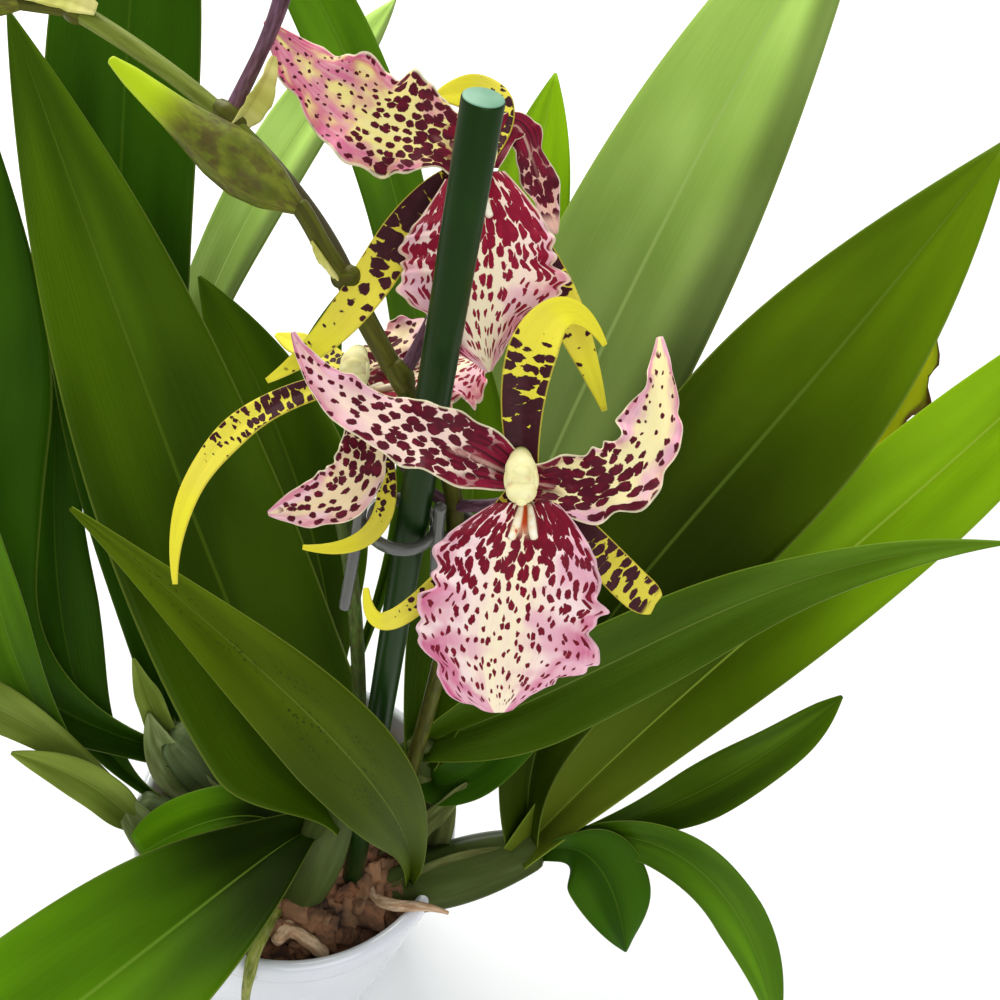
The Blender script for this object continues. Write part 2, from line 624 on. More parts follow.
# %% Leaf table
leaves = [
    dict(name="leaf_front_diagonal", look="olive", width=31, face=(0.2, -0.7, 0.6), widest=0.56, point=1.4,
         path=((48, -16, 108), (49, -29, 179), (20, -38, 238), (-55, -31, 295))),
    dict(name="leaf_front_left_wide", look="front", width=61, face=(-0.2, -0.5, 0.8), widest=0.7, point=2.2,
         path=((8, -17, 127), (4, -25, 147), (-29, -85, 147), (-99, -167, 128))),
    dict(name="leaf_tall_left", look="deep", width=62, face=(0.5, -0.7, 0.5), widest=0.25, point=3.5,
         path=((20, -18, 142), (-16, -1, 171), (-58, 35, 245), (-107, 63, 369))),
    dict(name="leaf_right_big", look="broad", width=60, face=(-0.3, -0.7, 0.6), foot=0.4, widest=0.7,
         point=2.1,
         path=((88, 2, 131), (65, 39, 182), (115, 54, 257), (157, 100, 385))),
    dict(name="leaf_right_long", look="grey", width=36, face=(0, -0.7, 0.7), foot=0.55, widest=0.22,
         point=1.3, full=True,
         path=((42, 16, 154), (104, 26, 211), (127, 36, 270), (179, 19, 314))),
    dict(name="leaf_right_bright", look="lime", width=44, face=(-0.2, -0.6, 0.7), foot=0.48, widest=0.6,
         point=2.3, full=True,
         path=((85.6, -4.4, 126.3), (131, 52.6, 185.7), (184, 84, 253), (230, 124, 356))),
    dict(name="leaf_right_pale", look="pale", width=75, face=(-0.2, -0.8, 0.5), foot=0.32, widest=0.49,
         point=2.3,
         path=((45, 15, 147), (55, 99, 198), (77, 182, 287), (119, 244, 429))),
    dict(name="leaf_back_left_dark", look="dark", width=50, face=(0.3, -0.8, 0.5), foot=0.3, widest=0.59,
         point=4.0,
         path=((-50, 5, 124), (-100, 62, 193), (-113, 119, 287), (-103, 154, 419))),
    dict(name="leaf_far_left", look="dark", width=74, face=(0.6, -0.6, 0.5), widest=0.7, point=2.5,
         path=((-50, 4, 122), (-137, -12, 153), (-151, 2, 227), (-110, 52, 335))),
    dict(name="leaf_low_left_bright", look="grass", width=16, face=(0.3, -0.6, 0.7), widest=0.66, point=1.6,
         path=((-57, -20, 116), (-90, -21, 143), (-105, -9, 193), (-110, 12, 262))),
    dict(name="leaf_left_inner_dark", look="dark", width=27, face=(0.6, -0.6, 0.5), widest=0.59, point=1.4,
         path=((-50, -13, 117), (-92, -2, 120), (-108, 23, 171), (-116, 80, 251))),
    dict(name="leaf_left_spread", look="soft", width=16, face=(0.2, -0.5, 0.8), widest=0.7, point=3.3,
         path=((-54, -19, 117), (-86, -12, 146), (-102, -24, 180), (-101, -45, 221))),
    dict(name="leaf_left_short", look="soft", width=14, face=(0.1, -0.4, 0.9), widest=0.45, point=2.7,
         path=((-47, -28, 104), (-56, -24, 130), (-70, -27, 151), (-90, -33, 165))),
    dict(name="leaf_middle_dark", look="deep", width=44, face=(0.3, -0.8, 0.5),
         path=((2, 34, 146), (-7, 55, 190), (-36, 83, 235), (-70, 91, 280))),
    dict(name="leaf_middle_small", look="dark", width=34, face=(0, -0.8, 0.6),
         path=((4, 36, 142), (-12, 66, 160), (-44, 100, 206), (-29, 130, 262))),
    dict(name="leaf_back_pale", look="pale", width=28, face=(-0.2, -0.8, 0.5), widest=0.7, point=3.9,
         path=((-50, 6, 130), (-117, 111, 180), (-95, 178, 244), (-47, 255, 320))),
    dict(name="leaf_back_centre", look="grass", width=27, face=(0, -0.8, 0.6), widest=0.7, point=3.6,
         path=((7, 39, 149), (23, 134, 218), (-15, 190, 295), (-103, 225, 364))),
    dict(name="leaf_back_small", look="lime", width=38, face=(0, -0.8, 0.6), widest=0.63, point=2.7,
         path=((42, 18, 142), (36, 109, 187), (30, 172, 252), (27, 218, 322))),
    dict(name="leaf_right_yellowing", look="yellow", torn=True, width=52, face=(-0.2, -0.7, 0.7), foot=0.3,
         widest=0.7, point=3.5,
         path=((89, 3, 127), (124, 91, 191), (159, 133, 250), (184, 145, 297))),
    dict(name="leaf_right_pointed", look="deep", width=22, face=(0, -0.7, 0.7), widest=0.53, point=2.8,
         path=((89, -1, 126), (136, 19, 133), (164, 31, 167), (180, 41, 208))),
    dict(name="leaf_right_drooping", look="grass", width=20, face=(0.3, -0.6, 0.7), foot=0.5, widest=0.65,
         point=1.4, full=True,
         path=((93, 0, 128), (135, 11, 165), (172, -12, 152), (193, -46, 108))),
    dict(name="leaf_right_hanging", look="dark", width=30, face=(0.3, -0.7, 0.6), foot=0.15, widest=0.62,
         waist=0.15, waist_at=0.34, point=2.5,
         path=((91, -5, 127), (103, 0, 147.7), (118, -7.6, 147), (132, -26, 116))),
    dict(name="leaf_low_back", look="dark", width=20, face=(0, -0.7, 0.7), foot=0.5, full=True,
         path=((46, 12, 138), (52, -2, 140), (72, 16, 166), (92, 34, 196))),
    dict(name="leaf_young", look="soft", width=11, face=(0.3, -0.8, 0.4),
         path=((-50, 4, 120), (-55, 4, 132), (-61, 8, 148), (-67, 11, 168))),
    dict(name="leaf_behind_bloom", look="deep", width=36, face=(0, -0.8, 0.6), foot=0.6, full=True,
         path=((42, 12, 146), (42, 44, 176), (44, 74, 226), (20, 112, 276))),
]
print(len(leaves), "leaves")

# %% [markdown]
# The oldest leaf has a torn edge, where small bites are taken out of one side near its end.
# Beside the wide front leaf stands the stub of one that was cut off, with a blunt end. It is
# built into the same piece, because it grows from the same foot and has no solid of its own.

# %% Leaves
LEAF_SHAPE = dict(foot=0.2, wave=1.2, waves=2.5, cells=18, steps=60, thickness=0.95, rim=0.45)
STUB = dict(path=((5, -18, 125), (-11, -13, 136), (-31, -23, 132), (-47, -37, 122)), face=(-0.2, -0.5, 0.8),
            width=24, foot=0.5, full=True, widest=0.4, point=5, tip=15, cells=14, steps=30, thickness=0.95,
            rim=0.45, wave=1.5, waves=1.5, seed=41)
slots = {row["node"]: row["material_slot"] for row in frame["record"]["subparts"]}

def grown(own, **shape):
    skin = blade(**shape)
    skin["marks"]["seed"] = np.full(len(skin["points"]), own)
    return skin

def torn_edge(t, sign):
    return 0.16 * ease(t, 0.62, 0.9) * (1 + np.sin(t * 70)) if sign > 0 else 0 * t

def make_leaf(index, name, look, torn=False, **shape):
    shape = {**LEAF_SHAPE, "seed": index, **shape}
    if torn:
        shape["edge"] = torn_edge
    skins = [grown(index * 3.7, **shape)]
    if name == "leaf_front_left_wide":
        skins.append(grown(11.0, **STUB))
    dress(build(name + "_skin", skins, [leaf_looks[look]]), [name], slots[name])

for index, leaf in enumerate(leaves):
    make_leaf(index, **leaf)

# %% [markdown]
# ## Flower finishes: what every petal reads
# A petal's colour is a ground, a share of pink, spots, a dark heart and a pale rim, and all of
# them wander a little. So each material first works out a few shared values: how far a point is
# from the middle line, a patchy noise, a place along the petal that the noise shifts, and fine
# streaks that run lengthways. On a lip, `fan` lets the spots spread with the width.

# %% Petal values
def petal_values(tree, fan):
    p = {word: mark(tree, word) for word in ("across", "along", "run", "sideways", "seed", "under")}
    strip = p["across"], p["run"], p["seed"]
    if fan:
        p["sideways"] = times(tree, p["across"], fan)
    p["far"] = calc(tree, "ABSOLUTE", p["across"])
    p["patchy"] = speckle(tree, drawn_out(tree, *strip, 1.2, 0.09), 1.4, 2.0)
    p["wander"] = times(tree, calc(tree, "SUBTRACT", p["patchy"], 0.5), 0.5)
    p["place"] = calc(tree, "ADD", p["along"], p["wander"])
    p["streak"] = speckle(tree, drawn_out(tree, *strip, 7.0, 0.05), 1.6, 3.0)
    p["streaky"] = rise(tree, p["streak"], 0.4, 0.62)
    return p

print("petal values wander by noise, so no border is straight")

# %% [markdown]
# ## Flower finishes: ground and pink
# The ground is cream or yellow. Pink comes in from the sides and the end, in clouds rather than
# in a band, and it is deeper in some clouds than in others. A plain gradient would give the band.
# So the distance to the side, the distance along and the noise are added up before the step.

# %% Petal ground
PINK_LIGHT = "#F8DCE0"

def petal_ground(tree, p, ground, middle, pink, pink_from, pulls, patches, soft, tip, tip_from, rim):
    pinkness = calc(tree, "ADD", times(tree, p["far"], pulls[0]), times(tree, p["along"], pulls[1]))
    pinkness = calc(tree, "ADD", pinkness, times(tree, p["wander"], patches))
    pinkness = calc(tree, "ADD", pinkness, times(tree, calc(tree, "SUBTRACT", p["streak"], 0.5), 0.25))
    light_pink = mix(tree, soft, tone(pink), tone(PINK_LIGHT))
    pinks = mix(tree, rise(tree, p["patchy"], 0.4, 0.62), tone(pink), light_pink)
    bare = mix(tree, rise(tree, p["far"], 0.1, 0.6), tone(middle), tone(ground)) if middle else tone(ground)
    colour = mix(tree, rise(tree, pinkness, pink_from - 0.16, pink_from + 0.2), bare, pinks)
    if tip:
        colour = mix(tree, rise(tree, p["along"], tip_from, tip_from + 0.12), colour, tone(tip))
    return mix(tree, times(tree, p["streaky"], 0.22), colour, tone(rim))

print("pinks are softened with", PINK_LIGHT)

# %% [markdown]
# ## Flower finishes: spots, heart and crest patch
# The shared spots swell from `cover`'s second value, far out, to its first at the heart, and stop
# short of the tip. The heart itself is deep wine with darker streaks and a light middle line.
# On a lip, a cream patch with an orange streak lies under the crest, where insects would land.

# %% Petal spots and heart
HEART_LINE, PATCH_CREAM, PATCH_ORANGE = "#DDB7A4", "#F8E8C0", "#C4481A"

def petal_spots(tree, p, colour, cover, reach, size, stretch, warp, blotch, heart):
    swell = remap(tree, rise(tree, p["place"], *reach), 0.0, 1.0, *cover)
    dots = use(tree, spots, {"Sideways": p["sideways"], "Lengthways": p["run"], "Seed": p["seed"],
                             "Size": size, "Stretch": stretch, "Warp": warp, "Cover": swell})
    tint = times(tree, rise(tree, dots["Tint"], 0.45, 0.7), 0.35)
    shown = times(tree, dots["Mask"], fall(tree, p["along"], 0.93, 0.97))
    return mix(tree, shown, colour, mix(tree, tint, tone(blotch), tone(heart)))

def petal_heart(tree, p, colour, heart, heart_vein, heart_end):
    inner = fall(tree, p["place"], heart_end - 0.1, heart_end + 0.1)
    colour = mix(tree, inner, colour, mix(tree, p["streaky"], tone(heart), tone(heart_vein)))
    line = times(tree, times(tree, fall(tree, p["far"], 0.03, 0.16), inner), 0.6)
    return mix(tree, line, colour, tone(HEART_LINE))

def crest_patch(tree, p, colour):
    near = fall(tree, p["along"], 0.12, 0.22)
    for start, end, shade in ((0.14, 0.26, PATCH_CREAM), (0.03, 0.1, PATCH_ORANGE)):
        colour = mix(tree, times(tree, near, fall(tree, p["far"], start, end)), colour, tone(shade))
    return colour

print("spots use the group", spots.name)

# %% [markdown]
# ## Flower finishes: the whole recipe
# Petals are soft and matt, with hardly any shine, and light soaks well into them. The order is
# that of the real thing: ground, spots, heart, then the rim that stays pale over all of it.
# Sepals are yellow, barred and blotched purple brown. Petals and lips are cream, pink and wine.

# %% Flower finish
def petal_finish(name, ground, blotch, heart, heart_vein, pink, size, stretch, cover, reach=(0.0, 1.0),
                 heart_end=0.0, pink_from=2.0, tip=None, tip_from=0.8, warp=0.6, fan=0.0, crest=False,
                 rim="#F4ECC2", middle=None, pulls=(0.55, 0.6), patches=1.6, soft=0.62):
    material, tree, shader = new_material(name, 0.5, gloss=0.14, glow=0.1, glow_reach=(0.003, 0.001, 0.001))
    p = petal_values(tree, fan)
    colour = petal_ground(tree, p, ground, middle, pink, pink_from, pulls, patches, soft, tip, tip_from, rim)
    colour = petal_spots(tree, p, colour, cover, reach, size, stretch, warp, blotch, heart)
    if heart_end:
        colour = petal_heart(tree, p, colour, heart, heart_vein, heart_end)
    if crest:
        colour = crest_patch(tree, p, colour)
    colour = mix(tree, times(tree, rise(tree, p["far"], 0.93, 0.98), 0.75), colour, tone(rim))
    colour = mix(tree, p["under"], colour, mix(tree, 0.4, colour, tone(ground)))
    feed(tree, shader, colour, p["streak"], 0.4, 0.00025)
    return material

wine = dict(blotch="#52091C", heart="#860F30", heart_vein="#4C0718")
bars = dict(blotch="#3A1119", heart="#55202A", heart_vein="#30101A", pink="#E0D23C", rim="#D2C240")
petal_looks = {
    "front_petal": petal_finish("petal wine and cream", "#EECFC0", size=1.9, stretch=1.6,
        cover=(0.58, 0.24), reach=(0.1, 0.8), heart_end=0.16, pink="#C8618A", pink_from=0.66, soft=0.5,
        pulls=(0.35, 0.75), **wine),
    "open_petal": petal_finish("petal cream and pink", "#F2E4A6", size=2.1, stretch=1.7, cover=(0.53, 0.15),
        reach=(0.34, 0.68), heart_end=0.08, pink="#D2709A", pink_from=0.66, soft=0.4, patches=2.2,
        pulls=(0.62, 0.42), **wine),
    "upper_petal": petal_finish("petal yellow and pink", "#F2E28C", size=1.85, stretch=1.4,
        cover=(0.64, 0.16), reach=(0.1, 0.72), heart_end=0.12, pink="#CC3F78", pink_from=0.5, soft=0.2,
        patches=3.0, pulls=(0.36, 0.56), **wine),
    "maroon_petal": petal_finish("petal maroon", "#D9A594", size=1.7, stretch=1.8, cover=(0.8, 0.5),
        reach=(0.3, 1.0), heart_end=0.7, pink="#B8607E", pink_from=1.0, **wine),
    "side_petal": petal_finish("petal cream with spots", "#EED4A8", size=2.1, stretch=1.4,
        cover=(0.52, 0.3), pink="#CE6C92", pink_from=0.72, **wine),
    "sepal": petal_finish("sepal yellow blotched", "#E4D83E", size=4.2, stretch=0.5, cover=(0.84, -0.1),
        reach=(0.04, 0.68), tip="#EAE030", tip_from=0.56, warp=0.7, **bars),
    "sepal_barred": petal_finish("sepal yellow barred", "#DCCE44", size=4.2, stretch=0.45,
        cover=(0.96, 0.44), reach=(0.1, 0.75), warp=0.8, **bars),
    "sepal_half": petal_finish("sepal half barred", "#E0D244", size=4.6, stretch=0.7, cover=(0.7, 0.1),
        reach=(0.3, 0.84), tip="#E4DC34", tip_from=0.72, warp=0.7, **bars),
    "sepal_striped": petal_finish("sepal yellow striped", "#E4D848", size=3.8, stretch=0.45,
        cover=(0.62, -0.06), reach=(0.2, 0.66), tip="#EAE034", tip_from=0.62, warp=0.8, **bars),
    "sepal_spotted": petal_finish("sepal yellow spotted", "#E4D848", size=2.2, stretch=0.8,
        cover=(0.5, -0.06), reach=(0.25, 0.7), tip="#EAE034", tip_from=0.66, warp=0.9, **bars),
    "lip": petal_finish("lip cream and pink", "#F4DAD6", size=1.9, stretch=1.6, cover=(0.76, 0.24),
        reach=(0.04, 0.6), blotch="#6E0620", heart="#9C0F2C", heart_vein="#5A0A18", pink="#C4447A",
        pink_from=0.62, soft=0.5, fan=20.0, rim="#EFC6CC", warp=0.8, middle="#F6E8C4", patches=3.2,
        pulls=(0.62, 0.5), crest=True),
    "lip_upper": petal_finish("lip rose and cream", "#F8DCCC", size=2.0, stretch=1.8, cover=(0.74, 0.3),
        reach=(0.1, 0.62), blotch="#860A2A", heart="#B01C38", heart_vein="#5A0A18", pink="#CC4678",
        pink_from=0.72, fan=20.0, rim="#F2DCC0", warp=0.8, middle="#F8E8C4", patches=2.4, pulls=(0.66, 0.5),
        crest=True),
}
print(len(petal_looks), "flower finishes")

# %% [markdown]
# ## The crest's finish
# Two small cream ridges stand on each lip, freckled with rust. They are waxy, a little shinier
# than the lip round them, so they get a material of their own.

# %% Crest finish
def cloudy_finish(tree, spot, scale, low, high, first, second, detail=2.0):
    cloud = speckle(tree, spot, scale, detail)
    return cloud, mix(tree, rise(tree, cloud, low, high), tone(first), tone(second))

crest_cream, tree, shader = new_material("lip crest cream", 0.4, gloss=0.3)
grain, cream = cloudy_finish(tree, own_place(tree), 500.0, 0.35, 0.65, "#FBF3DC", "#F4DFB4", 3.0)
feed(tree, shader, mix(tree, rise(tree, grain, 0.6, 0.72), cream, tone("#C4502A")), grain, 0.2, 0.0002)
print("finish:", crest_cream.name)

# %% [markdown]
# ## The blooms
# Each bloom has its own small frame: right, up and out towards the viewer, with the heart at its
# middle. Three narrow sepals and two wider petals spread behind, the broad lip hangs in front, and
# the short column sits between them. The curves are those of the solids in the frame.

# %% Bloom tables
x_axis = unit(np.array([0.97, 0.17, 0.17]))
y_axis = np.array([-0.24, 0.69, 0.68])
y_axis = unit(y_axis - x_axis * y_axis.dot(x_axis))
turned = np.stack([x_axis, y_axis, np.cross(x_axis, y_axis)])

def placed(path, heart):
    return (np.array(path, float) @ turned + np.array(heart, float)).tolist()

blooms = [
    ("bloom_front", (50, -36, 345),
     [dict(look="sepal", width=10.6, widest=0.4, point=1.15,
           path=((0.7, 3, -2), (-2.5, 28, 5), (8, 46, 2), (18, 30, -6))),
      dict(look="sepal_barred", width=8.3, widest=0.75, point=4, tip=5,
           path=((2, -1, -3), (15, -10, -4), (20.5, -20.5, -4), (29.1, -25.5, -8))),
      dict(look="sepal_spotted", width=4.6, widest=0.45, point=2,
           path=((-1, -0.5, -4), (-19, -25.8, -7), (-32.5, -37.8, -7), (-32.5, -21.9, -3)))],
     [dict(look="front_petal", width=15.8, face=(0, 0.2, 1), widest=0.22, point=1.4,
           path=((-1, 1.5, -1), (-21.5, 11.2, 4), (-40.2, 13.5, 3), (-47.5, 31.5, 0))),
      dict(look="open_petal", width=17, widest=0.33, point=1.9, waist=0.3, waist_at=0.52, lobes=0.1,
           frill=1.0,
           path=((2, 0.5, -1), (24, -4.5, 3), (30, 9, 5), (29, 31, -2)))],
     dict(look="lip", width=38, widest=0.5, point=2.7, tip=7,
          path=((0.9, -4.3, 3), (1, -13, 9), (-5, -34, 6), (-4.5, -47.6, -2)))),
    ("bloom_upper", (25, 16, 385),
     [dict(look="sepal_spotted", width=8.4, widest=0.6, point=3,
           path=((0, 1, -2), (7.9, 15.1, -4), (2.2, 20.5, -8), (-10.5, 16.5, -5))),
      dict(look="sepal_half", width=9.5, widest=0.54, point=1.9,
           path=((-1.5, -1, -3), (-20.2, -6.5, -3), (-19.5, -31.5, -2), (-45.7, -47.1, 2))),
      dict(look="sepal_half", width=9.4, widest=0.5, point=1.5,
           path=((2, -1.5, -5), (11.5, -16.9, -9), (20.9, -31.3, -9), (27.5, -52.5, -7)))],
     [dict(look="upper_petal", width=22, widest=0.58, point=1.5, frill=1.0, lobes=0.08,
           path=((-0.8, 2, -1), (-14.9, 7.5, 3), (-28.8, 6.4, 2), (-46.7, 30.8, 0))),
      dict(look="maroon_petal", width=8, face=(0.3, 0, 1), widest=0.7, point=4,
           path=((2, 0, -1), (8.5, 18.3, -6), (8.5, 10.8, -8), (16.4, -13.4, -6)))],
     dict(look="lip_upper", width=37, widest=0.52, point=1.4,
          path=((-1.3, -2.9, 1), (1.4, -19.9, 5), (-2.2, -27, 4), (1.9, -44.8, 0)))),
    ("bloom_side", (7, -4, 335),
     [dict(look="sepal_striped", width=7.5, face=(-0.2, 0.2, 1), widest=0.44, point=1.4,
           path=((-1, -1, -1), (-25.9, -4, 4), (-43.6, -24.1, 5), (-42, -48.6, 3))),
      dict(look="sepal_spotted", width=5, widest=0.49, point=2.1,
           path=((0.5, -2, -4), (11.8, -28.2, -6), (6.9, -43.2, -8), (-14, -40.3, -6))),
      dict(look="sepal_spotted", width=8, face=(0, 0.6, 0.8), widest=0.5, point=2.4,
           path=((0, 1, -3), (-8, 5, -8), (-15, 9, -11), (-22, 12, -12)))],
     [dict(look="side_petal", width=13.5, face=(0.3, 0, 1), widest=0.6, point=2.7,
           path=((-0.5, -2, 0), (4, -25.7, 3), (1, -28.5, 4), (-20.6, -32, 2))),
      dict(look="side_petal", width=11.6, face=(0, 0.5, 0.8), widest=0.6, point=2.3,
           path=((0.6, 1.7, -3), (4.2, 5.2, -8), (8.7, 10.7, -12), (14.7, 16.3, -14)))],
     dict(look="lip_upper", width=28, face=(0.2, 0.9, 0.5), widest=0.58, point=3,
          path=((3, -3.8, 1), (10, -3, -4), (18, 6, -12), (29.2, 7.2, -20)))),
]
print(len(blooms), "blooms")

# %% [markdown]
# The three kinds of flower blade differ in how they swell, fold and frill. Sepals are stiff and
# nearly flat, petals ripple, and a lip curls down at its sides and frills most, but only past
# its calm throat. Moving points by hand would give one good flower; values give all three.

# %% Flower blades
SEPAL_SHAPE = dict(foot=0.6, full=True, fold=(20, 12), wave=0.3, cells=14, steps=48, thickness=0.8,
                   face=(0, 0, 1))
PETAL_SHAPE = dict(foot=0.5, full=True, fold=(30, 10), wave=1.4, waves=3.5, frill=0.5, frills=5, cells=20,
                   steps=64, thickness=0.75, rim=0.4, face=(0, 0, 1), lobes=0.05)
LIP_SHAPE = dict(foot=0.35, full=True, fold=(24, 10), wave=1.2, waves=2.6, lobes=0.07, frill=0.7, frills=7,
                 calm=0.4, cells=32, steps=90, curl=0.35, thickness=0.75, rim=0.4, face=(0, 0.15, 1))

def flower_blade(base, heart, looks, number, look, path, **values):
    shape = {**base, **values}
    shape["face"] = np.array(shape["face"], float) @ turned
    return grown(number * 5.3 + 1, path=placed(path, heart), seed=number, slot=looks.index(look), **shape)

print("cells in one lip:", LIP_SHAPE["cells"] * LIP_SHAPE["steps"])

# %% [markdown]
# The crest is two short soft ridges that start in the throat and spread a little. They could be
# pushed up out of the lip, but two small swept forms laid on its middle keep a clean edge.

# %% Blooms
CREST_AT, CREST_ABOVE = (0.02, 0.09, 0.16, 0.2), 1.1

def crest_ridges(lip, heart):
    out = np.array(lip.get("face", (0, 0, 1)), float)
    for side in (-1, 1):
        line = at(lip["path"], np.array(CREST_AT)) + out * CREST_ABOVE
        line[:, 0] += side * np.array([1.0, 1.4, 1.6, 2.3])
        yield sweep(placed(line, heart), [0.5, 0.8, 0.9, 0.8], sides=14, steps=20, slot=1)

for number, (name, heart, sepals, petals, lip) in enumerate(blooms):
    names = sorted({part["look"] for part in sepals + petals})
    skins = [flower_blade(SEPAL_SHAPE, heart, names, number * 7 + i, **part) for i, part in enumerate(sepals)]
    skins += [flower_blade(PETAL_SHAPE, heart, names, number * 7 + 4 + i, **part)
              for i, part in enumerate(petals)]
    dress(build(name + "_petals", skins, [petal_looks[n] for n in names]), [name + "_tepals"], "tepal")
    skins = [flower_blade(LIP_SHAPE, heart, [lip["look"]], number * 7 + 6, **lip), *crest_ridges(lip, heart)]
    dress(build(name + "_lip_skin", skins, [petal_looks[lip["look"]], crest_cream]), [name + "_lip"], "lip")

# %% [markdown]
# ## Stem finishes
# Green stem skin is clouded with brown and has fine lengthwise fibres. The thin flower stalks are
# purple brown, the bracts papery straw. An image would show a seam where it meets itself round
# the stem. Here the turn round the stem becomes a circle of noise, which has no seam.

# %% Stem finishes
def stem_finish(name, low, high, stain, amount, rough=0.4, scale=0.12):
    material, tree, shader = new_material(name, rough, gloss=0.16, tint=(1, 0.95, 0.5, 1))
    angle, run = times(tree, mark(tree, "turn"), 2 * math.pi), mark(tree, "run")
    circle = calc(tree, "COSINE", angle), calc(tree, "SINE", angle)
    spot = triple(tree, *circle, times(tree, run, scale))
    colour = mix(tree, rise(tree, speckle(tree, spot, 1.5, 3.0), 0.3, 0.7), tone(low), tone(high))
    stained = times(tree, rise(tree, speckle(tree, spot, 2.6, 2.0), 0.4, 0.64), amount)
    colour = mix(tree, stained, colour, tone(stain))
    fibres = speckle(tree, triple(tree, *circle, times(tree, run, 0.02)), 14.0, 2.0)
    feed(tree, shader, colour, fibres, 0.3, 0.0002)
    return material, tree, shader, colour

stem_green = stem_finish("stem olive green", "#3A3E10", "#5A5E1C", "#463024", 0.3, scale=0.05)[0]
stalk_purple = stem_finish("stalk purple brown", "#54363E", "#745266", "#3A2430", 0.5)[0]
bract_skin = stem_finish("bract straw green", "#BEBE5A", "#E0DA8A", "#8A6E44", 0.15, rough=0.6)[0]
old_stem = stem_finish("stem old green", "#33461A", "#566E2C", "#4C3A22", 0.5)[0]
print("finishes:", [finish.name for finish in (stem_green, stalk_purple, bract_skin, old_stem)])

# %% [markdown]
# Two finishes change along the piece. The arch of the stem starts brown where it leaves the lower
# stem and turns fresh green, and a bud is mottled but has a bright lime beak. Both could be two
# materials with a border between them; one more step along the piece blends them instead.

# %% Arch and bud finishes
stem_arch, tree, shader, colour = stem_finish("stem arch green", "#5C6A1E", "#7E8C38", "#544426", 0.2,
                                              scale=0.05)
feed(tree, shader, mix(tree, fall(tree, mark(tree, "along"), 0.3, 0.62), colour, tone("#46402A")))
bud_skin, tree, shader, colour = stem_finish("bud mottled green", "#50581A", "#737C26", "#4A3226", 0.6)
feed(tree, shader, mix(tree, rise(tree, mark(tree, "along"), 0.5, 0.78), colour, tone("#B4CC1C")))
print("finishes:", stem_arch.name, "and", bud_skin.name)

# %% [markdown]
# ## The columns
# The column is where the petals meet: a short waxy hood, cream at its cap, green at its collar,
# with a faint blush. It hangs over the heart of the flower and holds the pollen.
# Its skin is lit from inside, so more light soaks in here than into any leaf.

# %% Column finish
column_skin, tree, shader = new_material("column cream", 0.4, gloss=0.3, glow=0.15,
                                         glow_reach=(0.003, 0.002, 0.001))
spot = own_place(tree)
cream = cloudy_finish(tree, spot, 260.0, 0.35, 0.7, "#F6F0B4", "#E8DE9A")[1]
cream = mix(tree, fall(tree, mark(tree, "along"), 0.25, 0.55), cream, tone("#9CAE5E"))
blush = times(tree, rise(tree, speckle(tree, spot, 420.0, 2.0), 0.55, 0.7), 0.35)
feed(tree, shader, mix(tree, blush, cream, tone("#D99A86")), speckle(tree, spot, 900.0), 0.15, 0.0002)
print("finish:", column_skin.name)

# %% [markdown]
# The hood could be sculpted, but at this size a swept form with a groove under it, a few rounded
# lumps for the cap and the lip of the stigma, and two small wings say all that can be seen.

# %% Columns
HOOD = [[0, 6, -3], [0, 6.4, 0.5], [0, 4.4, 4.5], [0, 0.6, 6]]
HOOD_RADII = [2.0, 2.1, 2.5, 3.3, 3.1]
WING = (0.9, 2.3, 1.2)
LUMPS = [((0, -1.5, 6.6), (3.2, 2.7, 2.1)), ((0, 2.3, 7.3), (1.9, 1.5, 1.4)),
         ((0, -3.6, 7.4), (1.3, 0.9, 1.2)), ((-2.7, 0.8, 5.6), WING), ((2.7, 0.8, 5.6), WING)]

def hood_ring(angle, t):
    return 1 - 0.14 * t * np.maximum(0, np.sin(angle)) ** 3 + 0.04 * t * np.cos(4 * angle)

def lump(centre, radii, heart, rows=12, sides=20):
    lat, lon = np.linspace(-math.pi / 2, math.pi / 2, rows), round_angles(sides)
    local = np.array([[math.cos(a) * math.cos(b) * radii[0], math.cos(a) * math.sin(b) * radii[1],
                       math.sin(a) * radii[2]] for a in lat for b in lon])
    points = (local + np.array(centre)) @ turned + np.array(heart)
    return patch(points, tube_faces(rows, sides, ends=False), along=np.ones(len(points)))

for name, heart, *_ in blooms:
    parts = [sweep(placed(HOOD, heart), HOOD_RADII, sides=28, steps=30, shape=hood_ring)]
    parts += [lump(centre, radii, heart) for centre, radii in LUMPS]
    dress(build(name + "_hood", parts, [column_skin]), [name + "_column"], "column")

# %% [markdown]
# ## The flower stem
# The flower stem arches from the bulb to the buds. Stalks leave it at swollen rings, each under a
# papery bract. All of it grew as one, so it is one piece with four finishes, and its parts run
# into each other. A Skin modifier on a branching line would melt the rings away, so each length
# is swept by itself.

